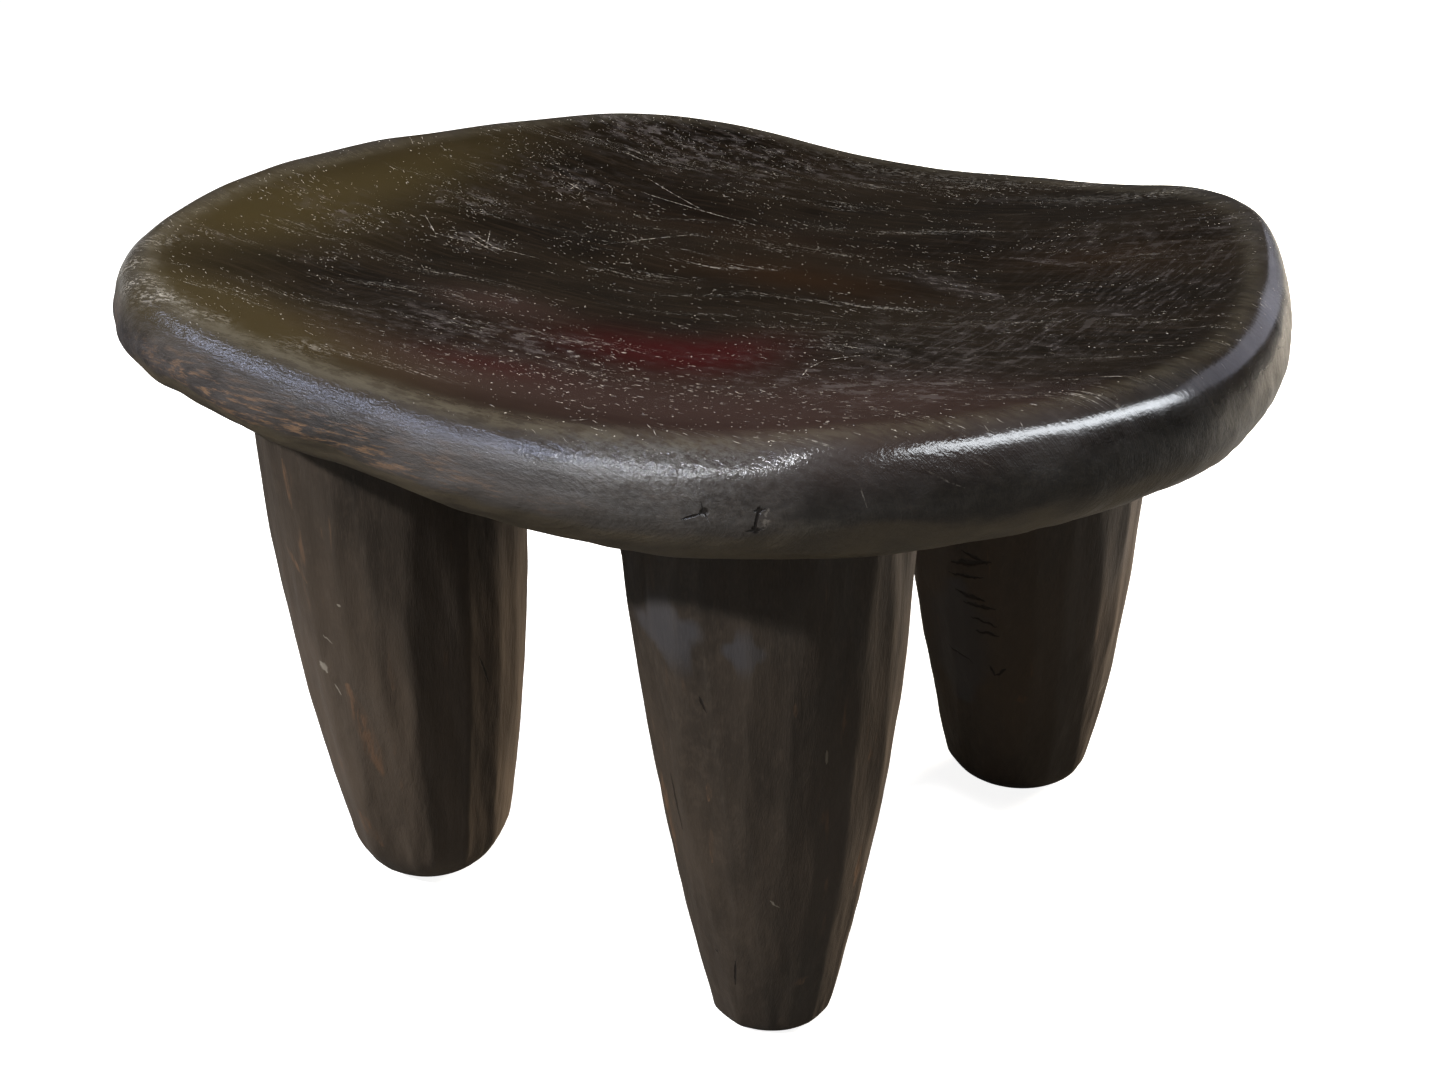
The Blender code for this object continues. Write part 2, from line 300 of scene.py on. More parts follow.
# Tints of the seat's top and side, one over the other: the mask, its strength and the colour
TOP_TINTS = (
    ("warm", 0.6, (0.022, 0.0095, 0.0030, 1)),
    ("brown", 0.7, (0.046, 0.026, 0.022, 1)),
    # Painted reflections: red in the dish's middle and front, olive at its left end
    ("painted_red_reflection", 0.85, (0.034, 0.0024, 0.0030, 1)),
    ("painted_olive_reflection", 0.8, (0.048, 0.036, 0.014, 1)),
)
SIDE_TINTS = (
    ("left_end", 0.45, (0.020, 0.015, 0.016, 1)),
    ("dusty_front", 0.6, (0.085, 0.077, 0.071, 1)),
    # Painted shade on the side's right face past the corner, where the sun does not reach
    ("painted_shade", 0.8, (0.0095, 0.0090, 0.0090, 1)),
)

# The lamps. Each is a flat panel between two directions, given as compass direction from +X and elevation,
# with its distance, its width, its power and its colour.
LAMPS = {
    "low sun": ((-118, 36), (-118, 36), 2.2, 0.08, 37, (1.0, 0.95, 0.90)),
    "sun glint": ((-113, 36), (-113, 36), 2.2, 0.06, 8, (0.96, 0.97, 1.0)),
    "left sky": ((-168, 36), (-118, 61), 1.6, 0.10, 8.5, (0.64, 0.72, 1.0)),
    "top gap": ((-112, 62), (-112, 62), 1.6, 0.11, 8.5, (0.93, 0.96, 1.0)),
    "right gap": ((-24, 62), (30, 41), 1.6, 0.36, 30, (0.90, 0.95, 1.0)),
    "right sky": ((30, 41), (86, 10), 1.6, 0.50, 2.8, (0.80, 0.82, 1.0)),
    "back sky": ((90, 12), (150, 12), 2.0, 0.50, 0.05, (1.0, 0.90, 0.75)),
    "warm ground": ((66, 6), (82, 6), 1.8, 0.50, 112, (1.0, 0.90, 0.76)),
    "overhead": ((0, 88), (0, 88), 1.8, 0.80, 15, (1.0, 0.95, 0.90)),
}

# The lamps that reflections leave out, those that only reflections show, and what all of them face
UNMIRRORED_LAMPS = ("low sun", "warm ground", "overhead")
MIRRORED_ONLY_LAMPS = ("right gap", "right sky")
LAMP_AIM = np.array([0, 0, 0.15])

# The surroundings: the floor glows white to the camera, and dimly to reflections, more so on its sunlit part
WHITE = (1, 1, 1, 1)
WORLD_COLOUR = (0.016, 0.015, 0.014, 1)
FLOOR_SIZE = 30
FLOOR_COLOUR = (0.15, 0.14, 0.125, 1)
FLOOR_COLOUR_TO_CAMERA = (0.8, 0.8, 0.8, 1)
FLOOR_GLOW = 0.9
FLOOR_GLOSSY_SHARE = 0.03
SUNLIT_GLOSSY_SHARE = 0.45
SUNLIT_DEGREES = 85
SUNLIT_START = 0.12
SUNLIT_END = 0.42

# The sockets of the node groups that hold a vector
VECTOR_SOCKETS = ("Vector", "Start", "Run")


def through_stations(column, angle):
    """A smooth closed curve through one column of the stations, as the sum of the waves that they hold."""
    stations = np.array(STATION_SHARES)[:, column]
    waves = np.fft.rfft(stations) / len(stations)
    value = np.full_like(angle, waves[0].real)
    for count in range(1, len(waves)):
        pair = 1 if 2 * count == len(stations) else 2
        value = value + pair * (waves[count] * np.exp(1j * count * angle)).real
    return value


def outline_reach(angle):
    """How far the seat reaches in a direction: a squarish oval pulled in and out at the stations."""
    length_term = np.abs(np.cos(angle) / SEAT_HALF_LENGTH) ** SQUARENESS
    width_term = np.abs(np.sin(angle) / SEAT_HALF_WIDTH) ** SQUARENESS
    return (length_term + width_term) ** (-1 / SQUARENESS) * through_stations(0, angle)


def rim_height(angle):
    """The height of the rim in a direction."""
    return RIM_HEIGHT + SEAT_THICKNESS * through_stations(1, angle)


def rim_thickness(angle):
    """The seat's thickness at the rim in a direction."""
    return SEAT_THICKNESS * through_stations(2, angle)


def quarter_round(share):
    """How far a quarter of an ellipse has dropped: 1 at its outer end, at share 0, and 0 from share 1 on."""
    return 1 - np.sqrt(1 - np.clip(1 - share, 0, 1) ** 2)


def bump_at(value, middle, half_width):
    """A smooth hill of 1 about a middle."""
    return np.exp(-((value - middle) / half_width) ** 2)


def top_height(angle, distance):
    """The seat's top: a dish that rises as a power of the distance, less the crest's quarter round."""
    reach = outline_reach(angle)
    rim = rim_height(angle)
    crest_width = CREST_WIDTH * through_stations(3, angle)
    crest_drop = WIDEST_SHARE * rim_thickness(angle) * quarter_round((reach - distance) / crest_width)
    dish_drop = (rim - RIM_HEIGHT + DISH_DEPTH) * (1 - (distance / reach) ** DISH_POWER)
    return rim - crest_drop - dish_drop


def underside_height(angle, distance):
    """The seat's underside: a shallow bowl between its middle and the rim's bottom, plus the under round."""
    reach = outline_reach(angle)
    thickness = rim_thickness(angle)
    bottom = rim_height(angle) - thickness
    middle = RIM_HEIGHT - BELLY_SHARE * SEAT_THICKNESS
    round_rise = (1 - WIDEST_SHARE) * thickness * quarter_round((reach - distance) / UNDER_ROUND_WIDTH)
    return middle + (bottom - middle) * (distance / reach) ** 2 + round_rise


def seat_middle():
    """The middle of the solid seat's box, from the point that its outline turns about: the stool's origin."""
    angle = np.linspace(0, 2 * np.pi, SOLID_SIDES, endpoint=False)
    reach = outline_reach(angle)
    x = reach * np.cos(angle)
    y = reach * np.sin(angle)
    return np.array([(x.max() + x.min()) / 2, (y.max() + y.min()) / 2, 0])


def unevenness(points, size, seed, stretch=(1, 1, 1), count=20):
    """A smooth field about zero: plane waves in seeded directions with lengths round size."""
    random = np.random.default_rng(seed)
    field = np.zeros(points.shape[:-1])
    for _ in range(count):
        direction = random.normal(size=3)
        direction /= np.linalg.norm(direction)
        length = size * random.uniform(0.6, 1.8)
        phase = points @ (direction / np.array(stretch)) * (2 * np.pi / length)
        field += np.sin(phase + random.uniform(0, 2 * np.pi))
    return field * math.sqrt(2 / count)


def soft_least(values, softness):
    """The least of some fields, with the creases between them rounded, and how near a crease is."""
    least = np.min(values, axis=0)
    total = np.sum(np.exp((least - values) / softness), axis=0)
    return least - softness * np.log(total), np.clip(np.log(total) / math.log(2), 0, 1)


def smooth_step(low, high, value):
    """0 below low and 1 above high, with an S between."""
    share = np.clip((value - low) / (high - low), 0, 1)
    return share * share * (3 - 2 * share)


def grid_normals(points):
    """Unit normals of a grid whose columns close on themselves, from its row and column directions."""
    down = np.gradient(points, axis=0)
    across = np.roll(points, -1, axis=1) - np.roll(points, 1, axis=1)
    normal = np.cross(down, across)
    return normal / np.maximum(np.linalg.norm(normal, axis=-1, keepdims=True), 1e-12)


def grid_object(name, points, first_pole, last_pole, masks):
    """A closed body on a grid whose columns close on themselves, with a fan at each pole, and its masks."""
    rows, columns = points.shape[:2]
    index = np.arange(rows * columns).reshape(rows, columns)
    after = np.roll(index, -1, axis=1)
    quads = np.stack([index[:-1], index[1:], after[1:], after[:-1]], axis=-1).reshape(-1, 4)
    first = rows * columns
    fan = np.stack([np.full(columns, first), index[0], after[0]], axis=-1)
    last_fan = np.stack([np.full(columns, first + 1), after[-1], index[-1]], axis=-1)
    mesh = bpy.data.meshes.new(name)
    corners = np.concatenate([points.reshape(-1, 3), [first_pole], [last_pole]])
    mesh.from_pydata(corners.tolist(), [], quads.tolist() + fan.tolist() + last_fan.tolist())
    for mask, values in masks.items():
        attribute = mesh.attributes.new(mask, "FLOAT", "POINT")
        ends = [values[0].mean(), values[-1].mean()]
        attribute.data.foreach_set("value", np.concatenate([values.ravel(), ends]).astype(np.float32))
    mesh.shade_smooth()
    piece = bpy.data.objects.new(name, mesh)
    bpy.context.scene.collection.objects.link(piece)
    return piece


def crowded_angles(count, middle, half_width, crowding):
    """Angles round the seat, closer together about one direction: the inverse of their summed density."""
    fine = np.linspace(middle - np.pi, middle + np.pi, 4000)
    density = 1 + crowding * bump_at(fine, middle, half_width)
    total = np.concatenate([[0], np.cumsum((density[1:] + density[:-1]) / 2)])
    return np.interp(np.linspace(0, total[-1], count, endpoint=False), total, fine)


def scoops(along, across, step, seed, round_length=None):
    """Adze scoops on a surface: the least of many shallow bowls on a shaken lattice."""
    random = np.random.default_rng(seed)
    low_along = along.min()
    bowls = []
    count_along = max(1, round((along.max() - low_along) / step[0]))
    count_across = max(1, round((across.max() - across.min()) / step[1]))
    for row in range(count_across + 1):
        for place in range(count_along):
            middle_along = low_along + (place + 0.5 * (row % 2) + random.uniform(-0.3, 0.3)) * step[0]
            middle_across = across.min() + (row + random.uniform(-0.25, 0.25)) * step[1]
            gap = along - middle_along
            if round_length:
                gap = (gap + round_length / 2) % round_length - round_length / 2
            level = random.uniform(0, 0.35)
            bowls.append((gap / step[0]) ** 2 + ((across - middle_across) / step[1]) ** 2 + level)
    return soft_least(np.array(bowls, dtype=np.float32), SCOOP_SOFTNESS)[0]


def seat_grid():
    """The seat's plain grid: from the dish's middle over the crest, round the rim and in under it."""
    angle = crowded_angles(SEAT_COLUMNS, math.radians(CORNER_DEGREES), CROWDED_HALF_WIDTH, CROWDING)
    reach = outline_reach(angle)
    crest_width = CREST_WIDTH * through_stations(3, angle)
    crest_steps = np.linspace(0, np.pi / 2, CREST_ROWS + 1)
    under_steps = np.linspace(0, np.pi / 2, UNDER_ROUND_ROWS + 1)[1:]
    dish_shares = np.linspace(0, 1, DISH_ROWS + 1)[1:-1] ** 0.85
    belly_shares = np.linspace(1, 0, BELLY_ROWS + 1)[1:-1]
    top = [share * (reach - crest_width) for share in dish_shares]
    top += [reach - crest_width * (1 - np.sin(step)) for step in crest_steps]
    under = [reach - UNDER_ROUND_WIDTH * (1 - np.cos(step)) for step in under_steps]
    under += [share * (reach - UNDER_ROUND_WIDTH) for share in belly_shares]
    distance = np.array(top + under)
    height = np.concatenate([top_height(angle, np.array(top)), underside_height(angle, np.array(under))])
    points = np.stack([distance * np.cos(angle), distance * np.sin(angle), height], axis=-1)
    return angle, distance, points, len(top)


def planed(points, degrees, facing, through, softness, run):
    """A flat on a round: points past a plane are drawn back onto it, softly, between some directions."""
    normal = np.array(facing) / np.linalg.norm(facing)
    past = (points - np.array(through)) @ normal
    kept = smooth_step(run[0], run[1], degrees) * smooth_step(run[3], run[2], degrees)
    return points - normal * (kept * softness * np.logaddexp(0, past / softness))[..., None]


def build_seat():
    """The seat with its adze marks, its planed corner and the masks that its finish reads."""
    angle, distance, points, top_rows = seat_grid()
    middle = seat_middle()
    points = points - middle
    degrees = np.degrees(angle)
    rows = np.arange(len(points))[:, None]
    everywhere = np.ones_like(distance)
    on_top = smooth_step(top_rows - 1, top_rows - CREST_ROWS * 0.6, rows) * everywhere
    on_belly = smooth_step(top_rows + UNDER_ROUND_ROWS * 0.55, top_rows + UNDER_ROUND_ROWS * 0.95, rows)
    on_side = (1 - on_top) * (1 - on_belly * everywhere)
    round_length = 2 * np.pi * SEAT_HALF_WIDTH
    along = (angle - angle.min()) / (2 * np.pi) * round_length * everywhere
    rough_left = bump_at(degrees, *ROUGH_LEFT) * everywhere

    normals = grid_normals(points)
    side_bowl = scoops(along, points[..., 2], SIDE_SCOOP_STEP, 5, round_length)
    belly_bowl = scoops(points[..., 0], points[..., 1], BELLY_SCOOP_STEP, 6)
    lift = 0.0005 * unevenness(points, 0.080, 1)
    lift += on_top * 0.00007 * unevenness(points, 0.030, 2)
    lift += on_side * (0.0003 + 0.0002 * rough_left) * (2.2 * side_bowl - 0.6)
    lift += on_side * (0.00010 + 0.00010 * rough_left) * unevenness(points, 0.009, 3, (3.0, 1, 1))
    lift += on_belly * 0.0012 * (belly_bowl - 0.5)
    lift += on_belly * 0.00025 * unevenness(points, 0.012, 4)
    points = points + normals * lift[..., None]
    for flat in CORNER_FLATS:
        points = planed(points, degrees, *flat)

    height = points[..., 2]
    inset = np.where(rows < top_rows, outline_reach(angle) - distance, 0)
    crest = crest_mask(inset, rows, top_rows)
    turned = smooth_step(-54, -48, degrees) * smooth_step(80, 40, degrees) * everywhere
    masks = {kind: patches(points, spots) for kind, spots in SEAT_PATCHES.items()}
    masks["dusty"] = 0.15 + 0.85 * masks["dusty"]
    masks |= {
        "on_top": on_top,
        "in_dish": smooth_step(DISH_ROWS + 16, DISH_ROWS + 6, rows) * everywhere,
        "on_front": smooth_step(0.0, -0.05, points[..., 1]) * on_side,
        "on_belly": smooth_step(-0.25, -0.50, grid_normals(points)[..., 2]),
        "crest": crest,
        "corner": bump_at(degrees, *CORNER) * crest,
        "corner_right": bump_at(degrees, *CORNER_RIGHT) * crest ** 0.5,
        "rough_left": rough_left,
        "left_end": bump_at(degrees, *LEFT_END) * on_side,
        "right_end": bump_at(degrees, *RIGHT_END) * on_side,
        "dusty_front": bump_at(degrees, *DUSTY_FRONT) * on_side * bump_at(height, *DUSTY_FRONT_HEIGHT),
        "dust_line": (0.4 + 0.6 * rough_left) * bump_at(inset, *DUST_LINE_INSET),
        # Painted shade on the side's right face past the corner, above its lower edge
        "painted_shade": turned * smooth_step(0.202, 0.208, height),
        # Painted light bounced from the floor on the lower part of that face
        "bounce_lit_lower_right": turned * smooth_step(0.208, 0.202, height) * on_side,
        "bare": patches(points[..., [0, 2, 1]], BARE_PATCHES) * on_side * (points[..., 1] < 0),
    }
    first = np.array([0, 0, top_height(angle[:1], np.zeros(1))[0]]) - middle
    last = np.array([0, 0, underside_height(angle[:1], np.zeros(1))[0]]) - middle
    return grid_object("carved_seat", points, first, last, masks)


def crest_mask(inset, rows, top_rows):
    """1 along the crest's top edge, fading over a few millimetres to each side."""
    steps = np.clip((rows - top_rows + 1) / CREST_ROWS, 0, 1)
    return np.exp(-((inset - CREST_LINE) / CREST_SPREAD) ** 2 - (steps * 4) ** 2)


def patches(points, spots):
    """Soft oval patches in the plane of the first two coordinates, summed up to 1."""
    total = np.zeros(points.shape[:-1])
    for x, y, half_length, half_width, strength in spots:
        far_along = (1000 * points[..., 0] - x) / half_length
        far_aside = (1000 * points[..., 1] - y) / half_width
        total += strength * np.exp(-(far_along ** 2 + far_aside ** 2))
    return np.clip(total, 0, 1)


def leg_radius(leg, height_share, height):
    """A leg's plain radius: it swells by a power from foot to top, less the round at the foot's edge."""
    foot = FOOT_RADIUS * leg["foot_radius_share"]
    top = LEG_TOP_RADIUS * leg["top_radius_share"]
    plain = foot + (top - foot) * (1 - (1 - np.minimum(height_share, 1)) ** leg["swell"])
    foot_round = FOOT_ROUND_WIDTH * leg["foot_round_share"]
    return plain - foot_round * quarter_round(height / (FOOT_ROUND_HEIGHT * leg["foot_round_share"]))


def adze_cuts(angle, height_share, seed):
    """How far out the leg's cuts lie, as a share of its radius: the least of many flats, each a chord round
    the leg that hollows away along it, with the creases softened. The second field is 1 on a crease."""
    random = np.random.default_rng(seed)
    cuts = []
    for row in range(CUT_ROWS):
        for place in range(LEG_FLATS):
            turn = (place + 0.5 * (row % 2) + random.uniform(-0.32, 0.32)) * 2 * np.pi / LEG_FLATS
            middle = (row + random.uniform(-0.35, 0.35)) / (CUT_ROWS - 1)
            half_length = random.uniform(0.30, 0.55)
            level = CUT_LEVEL + random.uniform(-0.010, 0.010)
            gap = (angle - turn + np.pi) % (2 * np.pi) - np.pi
            cuts.append(level + CUT_DEPTH * gap**2 + CUT_RUN * ((height_share - middle) / half_length) ** 2)
    return soft_least(np.array(cuts, dtype=np.float32), CUT_SOFTNESS)


def build_leg(name):
    """A leg: its rings follow the plain form, cut by the adze, and rise into the seat, so no seam shows."""
    leg = dict(zip(LEG_TERMS, LEGS[name]))
    angle = np.linspace(0, 2 * np.pi, LEG_COLUMNS, endpoint=False)
    nominal_top = RIM_HEIGHT - SEAT_THICKNESS
    round_height = FOOT_ROUND_HEIGHT * leg["foot_round_share"]
    steps = np.linspace(0, np.pi / 2, FOOT_ROWS + 1)[:-1]
    foot_heights = round_height * (1 - np.cos(steps))
    height = np.concatenate([foot_heights, np.linspace(round_height, nominal_top, LEG_ROWS)])[:, None]
    height_share = height / nominal_top
    cut, crease = adze_cuts(angle, height_share, leg["seed"])
    foot_fade = smooth_step(0, round_height, height)
    radius = leg_radius(leg, height_share, height) * (1 + (cut - MEAN_CUT) * foot_fade)
    below_seat = np.clip((nominal_top - height) / FILLET_HEIGHT, 0, 1)
    radius = radius + FILLET_WIDTH * quarter_round(below_seat)
    bow = LEG_BOW * leg["bow_share"] * np.sin(np.pi * height_share)
    middle_x = SEAT_HALF_LENGTH * (leg["foot_shares"][0] + leg["lean_shares"][0] * height_share) + bow
    middle_y = SEAT_HALF_WIDTH * (leg["foot_shares"][1] + leg["lean_shares"][1] * height_share) + bow
    x = middle_x + radius * np.cos(angle)
    y = middle_y + radius * np.sin(angle)
    seat_above = underside_height(np.arctan2(y[-1], x[-1]), np.hypot(x[-1], y[-1])) + INTO_SEAT
    z = height * seat_above / nominal_top
    points = np.stack([x, y, z], axis=-1) - seat_middle()
    normals = -grid_normals(points)
    lift = 0.00020 * unevenness(points, 0.016, leg["seed"] + 20, (1, 1, 3))
    lift += 0.00008 * unevenness(points, 0.004, leg["seed"] + 30, (1, 1, 6))
    points = points + normals * (lift * foot_fade * smooth_step(1, 0.97, height_share))[..., None]
    sole = points[0].mean(axis=0)
    sole[2] = 0
    shrink = np.array([0.55, 0.85])[:, None, None]
    sole_rings = sole + (points[0] - sole) * shrink
    cap_middle = points[-1].mean(axis=0)
    cap_ring = cap_middle + (points[-1] - cap_middle) * 0.5
    points = np.concatenate([sole_rings, points, cap_ring[None]])
    masks = {
        "crease": np.concatenate([crease[:1] * 0, crease[:1] * 0, crease, crease[-1:]]),
        "up_leg": np.clip(points[..., 2] / nominal_top, 0, 1),
        "dusty": np.full(points.shape[:2], leg["dust_share"]),
        "facing": smooth_step(0, 0.25, -grid_normals(points) @ toward((CAMERA_AZIMUTH - 90, 0))),
    }
    turned_masks = {mask: values[::-1] for mask, values in masks.items()}
    return grid_object("carved_" + name, points[::-1], cap_middle, sole, turned_masks)


def fill(tree, node, inputs):
    """Sets a node's inputs: each is a plain value or another node's socket, by name or number."""
    for key, value in inputs.items():
        if isinstance(value, bpy.types.NodeSocket):
            tree.links.new(value, node.inputs[key])
        else:
            node.inputs[key].default_value = value


def put(tree, kind, inputs=None, **settings):
    """Adds a node with these inputs and settings, and gives it back."""
    node = tree.nodes.new(kind)
    for setting, value in settings.items():
        setattr(node, setting, value)
    fill(tree, node, inputs or {})
    return node


def calc(tree, operation, first, second=0.5):
    """A Math node's result."""
    return put(tree, "ShaderNodeMath", {0: first, 1: second}, operation=operation).outputs[0]


def plus(tree, first, second):
    """The sum of two values."""
    return calc(tree, "ADD", first, second)


def less(tree, first, second):
    """A value less another."""
    return calc(tree, "SUBTRACT", first, second)


def times(tree, *factors):
    """The product of some values."""
    total = factors[0]
    for factor in factors[1:]:
        total = calc(tree, "MULTIPLY", total, factor)
    return total


def most(tree, *values):
    """The greatest of some values."""
    total = values[0]
    for value in values[1:]:
        total = calc(tree, "MAXIMUM", total, value)
    return total


def vector_calc(tree, operation, first, second, output=0):
    """A Vector Math node's result."""
    return put(tree, "ShaderNodeVectorMath", {0: first, 1: second}, operation=operation).outputs[output]


def spread(tree, value, low, high, to_low=0, to_high=1):
    """A value's S-shaped way from one range to another."""
    inputs = {"Value": value, "From Min": low, "From Max": high, "To Min": to_low, "To Max": to_high}
    return put(tree, "ShaderNodeMapRange", inputs, interpolation_type="SMOOTHSTEP").outputs[0]


def mix(tree, factor, first, second):
    """A blend of two colours."""
    return put(tree, "ShaderNodeMix", {0: factor, 6: first, 7: second}, data_type="RGBA").outputs[2]


def mask_of(tree, name):
    """One of the masks that the grid carries."""
    return put(tree, "ShaderNodeAttribute", attribute_name=name).outputs["Fac"]


def mapped(tree, vector, scale, turn=(0, 0, 0)):
    """A vector, scaled and turned."""
    return put(tree, "ShaderNodeMapping", {"Vector": vector, "Scale": scale, "Rotation": turn}).outputs[0]


def placed(tree, scale, turn=(0, 0, 0)):
    """Object coordinates, scaled and turned."""
    return mapped(tree, put(tree, "ShaderNodeTexCoord").outputs["Object"], scale, turn)


def noise(tree, vector, detail, roughness=0.5):
    """Noise about 0.5, one wave to a unit of its vector."""
    inputs = {"Vector": vector, "Scale": 1.0, "Detail": detail, "Roughness": roughness}
    return put(tree, "ShaderNodeTexNoise", inputs).outputs[0]


def new_group(name, inputs, output):
    """An empty node group with sockets of these names, and the sockets of its two end nodes."""
    group = bpy.data.node_groups.new(name, "ShaderNodeTree")
    for socket in inputs:
        kind = "NodeSocketVector" if socket in VECTOR_SOCKETS else "NodeSocketFloat"
        group.interface.new_socket(name=socket, in_out="INPUT", socket_type=kind)
    group.interface.new_socket(name=output, in_out="OUTPUT", socket_type="NodeSocketFloat")
    return group, group.nodes.new("NodeGroupInput").outputs, group.nodes.new("NodeGroupOutput").inputs


def flat_cells(group, given, randomness):
    """The cells of a flat lattice, three lots for each, and 1 in the share of cells that hold a mark."""
    inputs = {"Vector": given["Vector"], "Scale": 1.0, "Randomness": randomness}
    cells = put(group, "ShaderNodeTexVoronoi", inputs, voronoi_dimensions="2D").outputs
    lots = put(group, "ShaderNodeSeparateColor", {0: cells["Color"]}).outputs
    return cells, lots, calc(group, "LESS_THAN", lots[0], given["Share"])


def dashes_group():
    """Pores full of pale dust: dots in some cells of a flat lattice, or dashes where it is stretched."""
    group, given, made = new_group("dusty pores", ("Vector", "Share"), "Mask")
    cells, lots, chosen = flat_cells(group, given, 1.0)
    radius = plus(group, times(group, calc(group, "POWER", lots[1], 2.0), 0.22), 0.07)
    inside = spread(group, less(group, radius, cells["Distance"]), 0, 0.06)
    strength = spread(group, lots[2], 0, 1, 0.3, 1.0)
    group.links.new(times(group, inside, chosen, strength), made["Mask"])
    return group


def strokes_group():
    """Short scratches: in some of the cells of a flat lattice a slightly bent line crosses the cell's middle,
    turned by chance about the vector's X."""
    group, given, made = new_group("short scratches", ("Vector", "Share", "Spread", "Width"), "Mask")
    cells, lots, chosen = flat_cells(group, given, 0.75)
    gap = vector_calc(group, "SUBTRACT", given["Vector"], cells["Position"])
    gap = put(group, "ShaderNodeSeparateXYZ", {0: gap}).outputs
    turn = times(group, less(group, lots[1], 0.5), given["Spread"])
    cosine = calc(group, "COSINE", turn)
    sine = calc(group, "SINE", turn)
    along = plus(group, times(group, gap[0], cosine), times(group, gap[1], sine))
    aside = less(group, times(group, gap[1], cosine), times(group, gap[0], sine))
    bend = times(group, along, along, less(group, lots[2], 0.5))
    off = calc(group, "ABSOLUTE", plus(group, aside, bend))
    line = spread(group, calc(group, "DIVIDE", off, given["Width"]), 1.0, 0.3)
    ends = spread(group, calc(group, "ABSOLUTE", along), 0.48, 0.10)
    group.links.new(times(group, line, ends, chosen), made["Mask"])
    return group


def stroke_group():
    """One mark: 1 near a straight line from its start to its end, fading over its width."""
    group, given, made = new_group("one stroke", ("Vector", "Start", "Run", "Width"), "Mask")
    from_start = vector_calc(group, "SUBTRACT", given["Vector"], given["Start"])
    dot = vector_calc(group, "DOT_PRODUCT", from_start, given["Run"], "Value")
    whole = vector_calc(group, "DOT_PRODUCT", given["Run"], given["Run"], "Value")
    share = put(group, "ShaderNodeClamp", {0: calc(group, "DIVIDE", dot, whole)}).outputs[0]
    onto = put(group, "ShaderNodeVectorMath", {0: given["Run"], "Scale": share}, operation="SCALE").outputs[0]
    gap = vector_calc(group, "SUBTRACT", from_start, onto)
    far = put(group, "ShaderNodeVectorMath", {0: gap}, operation="LENGTH").outputs["Value"]
    taper = spread(group, calc(group, "ABSOLUTE", less(group, share, 0.5)), 0.5, 0.2, 0.35, 1.0)
    near = spread(group, calc(group, "DIVIDE", far, times(group, given["Width"], taper)), 1.0, 0.25)
    group.links.new(near, made["Mask"])
    return group


def hairs_group():
    """Hair scratches that run on along the vector's X: the thin crests of stretched noise, in stretches."""
    group, given, made = new_group("hair scratches", ("Vector", "Amount"), "Mask")
    lines = noise(group, given["Vector"], 1.0)
    crest = calc(group, "ABSOLUTE", less(group, lines, 0.5))
    thin = spread(group, crest, 0.014, 0.0)
    where = mapped(group, given["Vector"], (0.7, 0.06, 0.06))
    stretch = noise(group, where, 2.0)
    low = less(group, 0.70, times(group, given["Amount"], 0.25))
    kept = spread(group, less(group, stretch, low), 0, 0.12)
    group.links.new(times(group, thin, kept), made["Mask"])
    return group


def fibre_group():
    """Wood fibre along the vector's X: fine stretched noise over broader streaks, about 0.5."""
    group, given, made = new_group("wood fibre", ("Vector",), "Fibre")
    streaks_at = mapped(group, given["Vector"], (0.25, 1, 1))
    fibres_at = mapped(group, given["Vector"], (0.5, 6, 6))
    streaks = noise(group, streaks_at, 2.0)
    fibres = noise(group, fibres_at, 1.0)
    group.links.new(plus(group, times(group, streaks, 0.6), times(group, fibres, 0.4)), made["Fibre"])
    return group


def use(tree, group, inputs):
    """The result of a node group placed in a material."""
    node = tree.nodes.new("ShaderNodeGroup")
    node.node_tree = group
    fill(tree, node, inputs)
    return node.outputs[0]


def new_material(name):
    """A material with its Principled BSDF."""
    material = bpy.data.materials.new(name)
    material.use_nodes = True
    return material, material.node_tree, material.node_tree.nodes["Principled BSDF"]


def helpers(tree):
    """The makers of a tree's masks, products, sums, differences, blends, ramps, noise and greatest values."""
    return [partial(maker, tree) for maker in (mask_of, times, plus, less, mix, spread, noise, most)]


def drawn(tree, groups, flat, table):
    """The marks that can be told apart, each a stroke, as one mask for each kind."""
    marks = {}
    for kind, strokes in table.items():
        masks = []
        for x, y, run_x, run_y, width in strokes:
            start = (x / 1000, y / 1000, 0)
            run = (run_x / 1000, run_y / 1000, 0)
            inputs = {"Vector": flat, "Start": start, "Run": run, "Width": width / 1000}
            masks.append(use(tree, groups["stroke"], inputs))
        marks[kind] = most(tree, *masks)
    return marks


